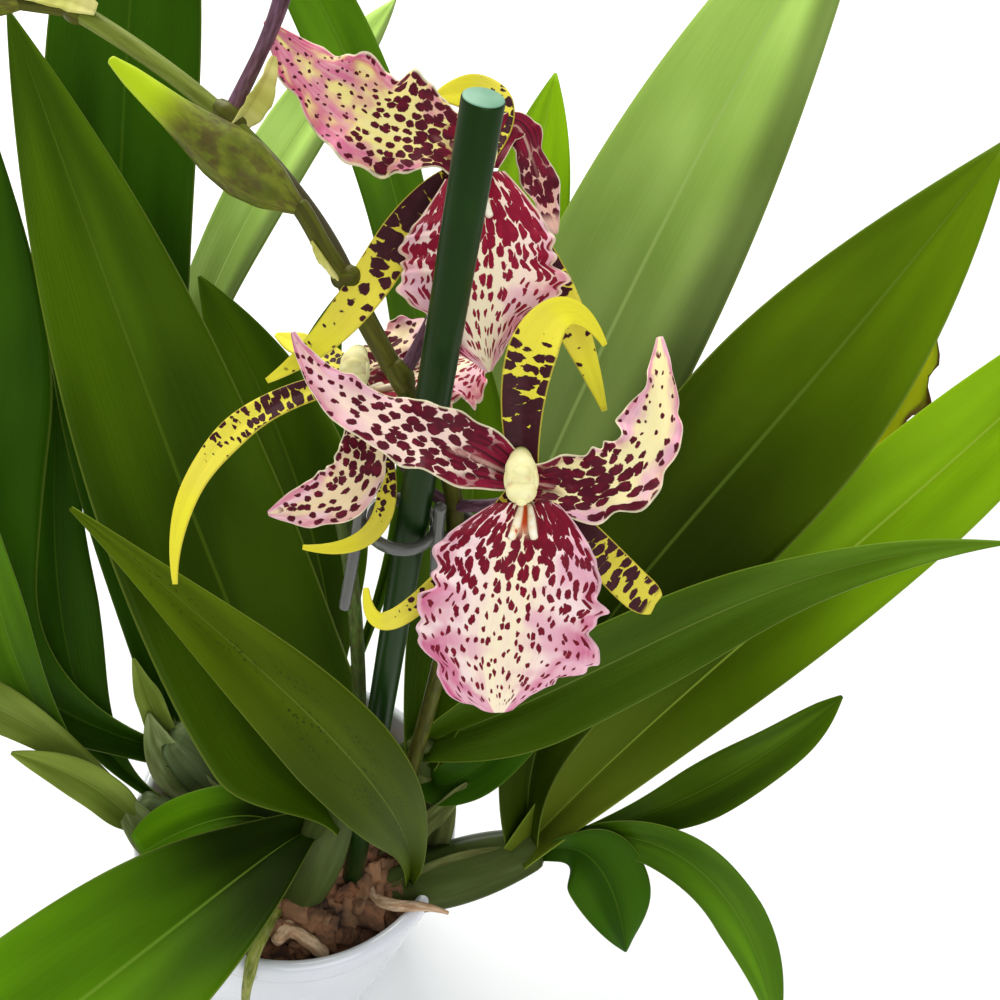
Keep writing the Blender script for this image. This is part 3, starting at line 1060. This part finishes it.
# %% Flower stem
GREEN, PURPLE, STRAW, ARCH = 0, 1, 2, 3
spike = [
    (GREEN, ((37, 2, 112), (42, 6, 215), (43, -20, 280), (36, -11, 308)), [2.8, 2.5, 2.3], 60),
    (GREEN, ((36, -11, 308), (31, -4, 322), (20, -12, 338), (2, -4, 362)), [2.3, 2.3, 2.5], 40),
    (ARCH, ((2, -4, 362), (-8, 2, 376), (-30, 17, 384), (-68, 22, 394)), [2.4, 1.9, 2, 2.1], 40),
    (PURPLE, ((36, -11, 308), (44, -14, 314), (52, -24, 326), (51, -30, 342)), [1.6, 1.5, 2.4], 24),
    (PURPLE, ((36, -11, 308), (26, -9, 308), (18, -8, 316), (9, 0, 330)), [1.6, 1.5, 2.2], 24),
    (PURPLE, ((18, -9, 343), (22, -2, 352), (26, 16, 366), (25, 22, 382)), [1.7, 1.6, 2.4], 24),
    (GREEN, ((1, -4, 363), (-3, -5, 368), (-5, -4, 372), (-9, -3, 376)), [2.3, 2, 2], 16),
    (PURPLE, ((-30, 13, 383), (-28, 19, 390), (-24, 26, 399), (-23, 28, 408)), [1.7, 1.5, 1.9], 20),
    (GREEN, ((-66, 22, 394), (-70, 21, 394), (-74, 20, 394), (-78, 19, 394)), [2, 1.8, 1.8], 12),
]
swollen_rings = [((0.6, -3.2, 360.8), (4, -4.8, 363.4)), ((-27.6, 12.2, 382), (-32.6, 14, 384)),
                 ((-65, 22, 393), (-69, 22, 394.5)), ((19.6, -9.6, 341), (16.2, -8.6, 345))]
bracts = [
    dict(width=4, face=(-0.5, -0.7, -0.4),
         path=((1, -6, 363), (-1, -7, 366), (-3, -7, 369), (-5, -7, 371))),
    dict(width=7, face=(0.6, -0.7, -0.3),
         path=((-29, 12, 382), (-25, 13, 385.5), (-22.9, 17, 391.4), (-22.4, 19, 396))),
    dict(width=6, face=(0, -0.6, 0.8),
         path=((-62, 21, 395), (-66, 20, 396.5), (-71, 19, 397), (-77, 17, 396))),
]

def along_line(low, high):
    low, high = np.array(low), np.array(high)
    return low, low + (high - low) / 3, low + (high - low) * 2 / 3, high

parts = [sweep(path, radii, sides=20, steps=steps, slot=slot) for slot, path, radii, steps in spike]
parts += [sweep(along_line(*ends), [2.3, 3, 3, 2.3], sides=20, steps=10) for ends in swollen_rings]
parts += [blade(**bract, fold=(40, 25), foot=0.6, widest=0.35, full=True, cells=10, steps=20, thickness=0.6,
                frill=0.3, frills=3, seed=number, slot=STRAW) for number, bract in enumerate(bracts)]
finishes = [stem_green, stalk_purple, bract_skin, stem_arch]
dress(build("flower_stem_skin", parts, finishes), ["flower_stem"], "stem")

# %% [markdown]
# Behind the stake stands the stem of an earlier flowering, cut off below the blooms. It is older
# and thinner, a plain tapered sweep with a rounded end.

# %% Cut stem
path = ((26, 2, 112), (17, -2, 190), (18, -16, 262), (8, -16, 302))
cut_stem = sweep(path, [2.6, 2.2, 1.8], sides=18, steps=50)
dress(build("stem_cut_skin", [cut_stem], [old_stem]), ["stem_cut"], "stem")

# %% [markdown]
# ## The buds
# A bud swells behind and narrows to a beak. Three sepals fold round it, so its ring is not quite
# round: a wave with three crests, which turns a little on the way, gives their soft edges.

# %% Buds
buds = [
    ("bud_big", ((-10, -3, 376), (-24, -3, 382), (-41, 1, 390), (-49, 0, 396)),
     [2.2, 5, 6.4, 6, 4.6, 3.5, 2.8, 2.1, 1.0], 60),
    ("bud_left", ((-78, 19, 394), (-84, 17, 393), (-90, 15, 394), (-100, 12, 396)),
     [1.8, 3.4, 3.8, 3, 1.4], 36),
    ("bud_top", ((-23, 28, 408), (-22, 30, 415), (-22, 31, 420), (-23, 32, 427)),
     [2, 4, 4.6, 3.6, 1.4], 36),
]

def folded_sepals(angle, t):
    return 1 + 0.045 * np.cos(3 * angle + t)

for name, path, radii, steps in buds:
    bud = sweep(path, radii, sides=36, steps=steps, shape=folded_sepals)
    dress(build(name + "_skin", [bud], [bud_skin]), [name], "bud")

# %% [markdown]
# ## The bulbs
# The bulbs are flattened and ribbed lengthways, grey green, and lighter on the left. A sphere
# pressed flat would have the wrong outline, so a bulb is built as rings like a stem, wider one
# way than the other, with six broad ribs and many fine ones.

# %% Helper: a bulb
bulbs = [
    ("bulb_front", (6, -32, 90), (18, -12, 152), 22, 13, (1, -0.4, 0)),
    ("bulb_right", (38, -18, 94), (94, -2, 132), 24, 15, (0, 1, 0.3)),
    ("bulb_centre", (30, 10, 90), (42, 14, 158), 26, 15, (1, 0.3, 0)),
    ("bulb_left", (-28, -20, 90), (-56, -20, 122), 22, 14, (0, 1, 0)),
    ("bulb_back_left", (-26, 12, 90), (-52, 4, 136), 26, 15, (0.3, 1, 0)),
    ("bulb_back", (0, 30, 90), (4, 36, 156), 26, 15, (1, 0, 0)),
]
sheaths = {
    "bulb_centre": [(((50, 0, 98), (54, 2, 118), (50, 10, 138), (44, 16, 156)), (0, -0.9, 0.4), 20),
                    (((36, -2, 96), (42, -6, 114), (50, 0, 134), (60, 6, 150)), (0.3, -0.9, 0.3), 13)],
    "bulb_right": [(((44, -20, 98), (56, -14, 112), (72, -8, 122), (88, -4, 130)), (0, -0.6, 0.8), 15)],
    "bulb_back_left": [(((-30, 2, 98), (-44, -6, 112), (-54, -2, 128), (-60, 4, 146)), (0.3, -0.7, 0.6), 18)],
    "bulb_left": [(((-30, -30, 100), (-42, -32, 112), (-52, -26, 122), (-62, -22, 134)),
                   (0.2, -0.6, 0.8), 15)],
}

def bulb(foot, apex, span, depth, broad, sides=40, steps=36):
    foot, apex = np.array(foot, float), np.array(apex, float)
    axis, angle = unit(apex - foot), round_angles(sides)
    side = unit(np.array(broad, float) - axis * np.dot(broad, axis))
    upward = np.cross(axis, side)
    ridge = 1 + 0.05 * np.cos(6 * angle) + 0.02 * np.cos(14 * angle + 1)
    rows, runs = [], []
    for t in np.linspace(0, 1, steps + 1):
        swell = 0.3 + 0.7 * math.sin(math.pi * (0.12 + 0.8 * t)) ** 0.8
        swell *= 1 if t < 0.96 else math.sqrt(max(0.02, 1 - ((t - 0.96) / 0.04) ** 2))
        rows.append(foot + (apex - foot) * t + side * (span / 2 * swell * ridge * np.cos(angle))[:, None]
                    + upward * (depth / 2 * swell * ridge * np.sin(angle))[:, None])
        runs.append(np.full(sides, t * np.linalg.norm(apex - foot)))
    return patch(np.concatenate(rows), tube_faces(steps + 1, sides), run=np.concatenate(runs),
                 turn=np.tile(angle / (2 * np.pi), steps + 1))

print(len(bulbs), "bulbs")

# %% [markdown]
# Dry sheaths, the feet of old leaves, still clasp four of the bulbs. They are thin blades again,
# more tightly folded than a leaf's open part, matt and dull olive. They are joined to the bulb
# that they wrap, because they have no solids of their own.

# %% Bulbs and sheaths
bulb_skin, bulb_light, sheath_skin, sheath_pale = [stem_finish(*facts)[0] for facts in (
    ("bulb grey green", "#313E16", "#4A582A", "#33341A", 0.3, 0.36, 0.012),
    ("bulb light grey green", "#46562E", "#6E8054", "#4A4A2A", 0.3, 0.4, 0.012),
    ("sheath dull olive", "#424C22", "#6A7240", "#4C3E22", 0.35, 0.6, 0.04),
    ("sheath pale olive", "#66763C", "#98A46C", "#6E6A40", 0.25, 0.6, 0.04))]
SHEATH_SHAPE = dict(fold=(35, 30), foot=0.7, full=True, widest=0.4, point=2.5, cells=12, steps=26,
                    thickness=0.7, wave=0.6, waves=1.5, frill=0.3, frills=3, slot=1)
for name, *facts in bulbs:
    skins = [bulb(*facts)]
    for number, (path, face, width) in enumerate(sheaths.get(name, [])):
        wrap = blade(path, face, width, seed=number + 60, **SHEATH_SHAPE)
        wrap["marks"]["turn"] = wrap["marks"]["across"] * 0.3
        skins.append(wrap)
    finishes = [bulb_light, sheath_pale] if "left" in name else [bulb_skin, sheath_skin]
    dress(build(name + "_skin", skins, finishes), [name], "bulb")

# %% [markdown]
# ## The roots
# Four roots show on the bark. They are pale and corky, and one has a green growing length that
# hangs over the rim. A smooth tube would look like a cord, so each ring swells and shrinks a
# little on its way, at another place for each root.

# %% Roots
root_pale = stem_finish("root pale cork", "#B08A68", "#D8BC9C", "#7A5A40", 0.4, rough=0.8)[0]
root_green = stem_finish("root green", "#5E6A24", "#8C963C", "#A8A070", 0.4, rough=0.65)[0]
roots = [
    ("root_pale_over_rim", root_pale, [2.2, 2.2, 2, 0.7],
     ((33, -16, 97), (40, -32, 104), (50, -26, 116), (65, -27, 113))),
    ("root_green_hanging", root_green, [2.4, 2.4, 2.2, 1.2],
     ((3, -36, 98), (2, -54, 122), (2, -68, 122), (2, -67, 84))),
    ("root_stub", root_pale, [2.4, 2.6, 2.2],
     ((24, -46, 97), (21, -46, 101), (16, -44, 103), (11, -43, 102))),
    ("root_tip_round", root_pale, [2, 3, 2.4],
     ((9, -38, 97), (9, -42, 101), (8, -45, 103), (7, -48, 104.5))),
]

for number, (name, finish, radii, path) in enumerate(roots):
    def knobbly(angle, t):
        return 1 + 0.06 * np.sin(17 * t + 2 * np.cos(angle) + number)
    root = sweep(path, radii, sides=18, steps=40, shape=knobbly)
    dress(build(name + "_skin", [root], [finish]), [name], slots[name])

# %% [markdown]
# ## The stake
# The stake is a steel rod with a satin green coat. Its cut top shows paler, worn mint green.
# A cylinder would do for the rod, but not for its bevelled ends, so it is turned as on a lathe:
# a profile of radius and height, carried round the axis. The worn top is a second, tiny turning.

# %% Stake
stake_green, tree, shader = new_material("stake green coat", 0.34, gloss=0.2, tint=(0.8, 1, 0.5, 1))
spot = own_place(tree)
coat = cloudy_finish(tree, spot, 30.0, 0.45, 0.75, "#0F2A08", "#173A0E", 4.0)[1]
feed(tree, shader, coat, speckle(tree, spot, 400.0), 0.1, 0.0001)
stake_top, tree, shader = new_material("stake worn top", 0.5)
spot = own_place(tree)
mint = mix(tree, speckle(tree, spot, 300.0), tone("#5E9472"), tone("#86B294"))
feed(tree, shader, mint, speckle(tree, spot, 700.0), 0.2, 0.0002)

def lathe(profile, centre=(0, 0, 0), sides=64, slot=0, **marks):
    angle = round_angles(sides)
    rings = [np.stack([r * np.cos(angle), r * np.sin(angle), np.full(sides, z)], 1) + centre
             for r, z in profile]
    return patch(np.concatenate(rings), tube_faces(len(profile), sides), slot, **marks)

STAKE_RADIUS, STAKE_FOOT = 4, (26.7, -15.7, 0)
rod = ([(3.6, 20)] + [(STAKE_RADIUS, z) for z in (20.4, 120, 220, 320, 414.1)] + [(3.85, 414.5)])
top = [(3.86, 414.2), (3.8, 414.55), (3.5, 414.7)]
parts = [lathe(rod, STAKE_FOOT, 48), lathe(top, STAKE_FOOT, 48, slot=1)]
dress(build("stake_rod", parts, [stake_green, stake_top]), ["stake"], "stake")

# %% [markdown]
# ## The clip
# The clip is smoky plastic that lets a little light in: a ring round the stake, a small ring
# round the flower stem, and two curved prongs. Its rings are not round in section but nearly
# square with soft corners, which a torus can't be. A power below one squares the circle.

# %% Clip
clip_smoke, tree, shader = new_material("clip smoky plastic", 0.25, coat=0.35, glow=0.2,
                                        glow_reach=(0.002, 0.002, 0.002))
spot = own_place(tree)
smoke = mix(tree, speckle(tree, spot, 120.0), tone("#3E3F3A"), tone("#62635C"))
feed(tree, shader, smoke, speckle(tree, spot, 500.0), 0.08, 0.0001)
CLIP_WALL, CLIP_TALL, SQUARENESS = 2.2, 3.6, 0.6

def squared(c):
    return np.sign(c) * np.abs(c) ** SQUARENESS

def ring(centre, inner, sides, rows=16):
    angle, bend = round_angles(sides), round_angles(rows)
    r = inner + CLIP_WALL / 2 + CLIP_WALL / 2 * squared(np.cos(bend))
    z = CLIP_TALL / 2 * squared(np.sin(bend))
    points = np.array([[across * math.cos(a), across * math.sin(a), height]
                       for a in angle for across, height in zip(r, z)]) + centre
    faces = [(i * rows + j, ((i + 1) % sides) * rows + j, ((i + 1) % sides) * rows + (j + 1) % rows,
              i * rows + (j + 1) % rows) for i in range(sides) for j in range(rows)]
    return patch(points, faces)

prongs = [((13.8, -17.4, 315), (13.8, -17.4, 302), (14.2, -22, 292), (14.2, -27, 278)),
          ((33, -17.5, 313), (33.4, -16.5, 303), (34.5, -17.5, 296), (35.4, -19, 288))]
parts = [ring((23.9, -15.9, 302), 7.4, 64), ring((37.6, -12.6, 302), 3.9, 48)]
parts += [sweep(path, [1.6, 1.6, 1.5], sides=20, steps=30) for path in prongs]
dress(build("clip_body", parts, [clip_smoke]), ["clip"], "clip")

# %% [markdown]
# ## The pot
# The pot is glazed white, with a soft upright rim. It is turned like the stake, from one profile
# that runs up the outside, over the rim and down the inside, so the wall has its real thickness.
# A clear coat over a barely clouded white gives the glaze, which is never quite even.

# %% Pot
glaze, tree, shader = new_material("pot white glaze", 0.2, coat=0.5)
shader.inputs["Coat Roughness"].default_value = 0.08
spot = own_place(tree)
white = cloudy_finish(tree, spot, 14.0, 0.35, 0.7, "#CFD1D6", "#DEDFE2", 3.0)[1]
feed(tree, shader, white, speckle(tree, spot, 60.0), 0.06, 0.0003)
POT_FOOT, POT_FLARE, WALL_TOP, WALL = 46, 14, 96, 5

def wall_radius(height):
    return POT_FOOT + POT_FLARE * np.minimum(1, height / WALL_TOP) ** 0.7

foot_curve = [(1, 0), (40, 0), (44.6, 0.4), (45.7, 1.2)]
outer = [(wall_radius(h), h) for h in np.linspace(2, WALL_TOP, 28)]
rim_curve = [(60.7, 97.6), (61.7, 99), (62, 101), (62, 106.5), (61.7, 108.2), (61, 109.3), (60, 109.85),
             (59.2, 110), (58.3, 109.8), (57.5, 109.2), (57, 108)]
inner = [(wall_radius(h) - WALL, h) for h in np.linspace(WALL_TOP, 8, 20)] + [(30, 7), (1, 7)]
pot = lathe(foot_curve + outer + rim_curve + inner, sides=128)
dress(build("pot_glazed", [pot], [glaze]), ["pot"], "pot")

# %% [markdown]
# ## The bark's finish
# Bark chips are many browns at once, lighter on some chips, nearly black in the cracks, and very
# rough. One noise stretched along the grain gives the browns and the relief, and each chip's own
# seed lightens it by a share, so that neighbours differ.

# %% Bark finish
bark_skin, tree, shader = new_material("bark chips", 0.9)
spot = own_place(tree)
grain = put(tree, "Mapping", {"Vector": spot, "Scale": (1, 1, 3)}).outputs[0]
cloud = rise(tree, speckle(tree, grain, 160.0, 5.0, 0.65), 0.35, 0.7)
browns = mix(tree, cloud, tone("#3A2114"), tone("#8A5A3A"))
browns = mix(tree, times(tree, mark(tree, "seed"), 0.55), browns, tone("#B08660"))
browns = mix(tree, rise(tree, speckle(tree, spot, 50.0, 3.0), 0.52, 0.7), browns, tone("#1A0D07"))
feed(tree, shader, browns, speckle(tree, grain, 420.0, 6.0, 0.7), 0.8, 0.0008)
print("finish:", bark_skin.name)

# %% [markdown]
# ## The bark
# The chips are loose lumps with knocked corners. A plain box looks sawn, and a ball looks like
# clay. So a chip starts as a finely cut cube, drawn part of the way to a ball, and noise dents
# it, by a different seed for each chip.

# %% Helper: a chip
ROUNDING = 0.72, 0.36     # shares of the cube and of the ball

def rounded_cube(cells=5):
    u = np.linspace(-1, 1, cells)
    points, faces, index = [], [], {}
    def corner(p):
        key = tuple(np.round(p, 4))
        if key not in index:
            index[key] = len(points)
            ball = np.array(p) / np.linalg.norm(p)
            points.append(np.array(p) * ROUNDING[0] + ball * ROUNDING[1])
        return index[key]
    for axis, sign, i, j in np.ndindex(3, 2, cells - 1, cells - 1):
        quad = []
        for a, b in ((i, j), (i + 1, j), (i + 1, j + 1), (i, j + 1)):
            p = [0, 0, 0]
            p[axis], p[(axis + 1) % 3], p[(axis + 2) % 3] = (-1, 1)[sign], u[a], u[b]
            quad.append(corner(p))
        faces.append(tuple(quad) if sign else tuple(reversed(quad)))
    return points, faces

cube_points, cube_faces = rounded_cube()

def chip(centre, size, spin, seed):
    shaped = []
    for p in cube_points:
        push = noise.noise(Vector(p) * 1.3 + Vector((seed, 0, 0))) * 0.5
        push += noise.noise(Vector(p) * 4 + Vector((0, seed, 0))) * 0.12
        shaped.append(np.array(p) * size * (1 + push) / 2)
    turning = Matrix.Identity(3)
    for angle, axis in zip(spin, "XYZ"):
        turning = turning @ Matrix.Rotation(angle, 3, axis)
    return patch(np.array(shaped) @ np.array(turning) + centre, cube_faces,
                 seed=np.full(len(shaped), (seed * 0.37) % 1))

print("one chip:", len(cube_faces), "faces")

# %% [markdown]
# Physics could drop the chips into the pot, but that takes long. Instead they lie on a spiral,
# the way seeds sit in a sunflower, which spreads them evenly over a rough bed that fills the
# pot. A seeded draw sizes and turns each, so that every run gives the same bark.

# %% Bark
CHIPS, SPREAD, BARK_TOP, SPIRAL_TURN = 150, 50, 98, 2.4
draw = np.random.default_rng(5)
bed = [(1, 8), (44, 8), (49, 55), (53.5, 90), (52.5, 94), (46, 96), (30, 97), (12, 97.5), (1, 97.5)]
parts = [lathe(bed, sides=96, seed=np.full(len(bed) * 96, 0.1))]
for i in range(CHIPS):
    away, turn = SPREAD * math.sqrt((i + 0.5) / CHIPS), SPIRAL_TURN * i
    size = np.array([draw.uniform(7, 16), draw.uniform(5, 10), draw.uniform(3, 7)])
    place = (away * math.cos(turn), away * math.sin(turn), BARK_TOP + draw.uniform(-2, 2.5))
    parts.append(chip(place, size, draw.uniform(-0.6, 0.6, 3) + np.array([0, 0, 9 * draw.random()]), i))
dress(build("bark_chips", parts, [bark_skin]), ["bark"], "bark")

# %% [markdown]
# ## The floor
# A plain pale sheet, wide enough that no view sees its edge close by. A ground plane that only
# catches shadows would hide the soft light that the floor throws back up under the leaves.

# %% Floor
FLOOR_HALF, FLOOR_HEIGHT = 6000, -0.2
floor_skin, tree, shader = new_material("floor pale", 0.9)
feed(tree, shader, mix(tree, speckle(tree, own_place(tree), 3.0), tone("#F6F6F5"), tone("#FAFAFA")))
corners = [(x * FLOOR_HALF, y * FLOOR_HALF, FLOOR_HEIGHT) for x, y in ((-1, -1), (1, -1), (1, 1), (-1, 1))]
floor = build("floor", [patch(corners, [(0, 1, 2, 3)])], [floor_skin], smooth=False)
floor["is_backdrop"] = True
print("floor:", 2 * FLOOR_HALF * MM, "m wide")

# %% [markdown]
# ## Measure and finish
# The dressed plant must keep the size of its solids. Both boxes are measured in metres, printed
# and saved, so that a slip of scale would show at once.

# %% Measure and finish
visual_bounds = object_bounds()
plain = lambda box: [[float(v) for v in corner] for corner in box]
{"cad": plain(cad_bounds), "visual": plain(visual_bounds)}
print("CAD box", plain(cad_bounds), "visual box", plain(visual_bounds))
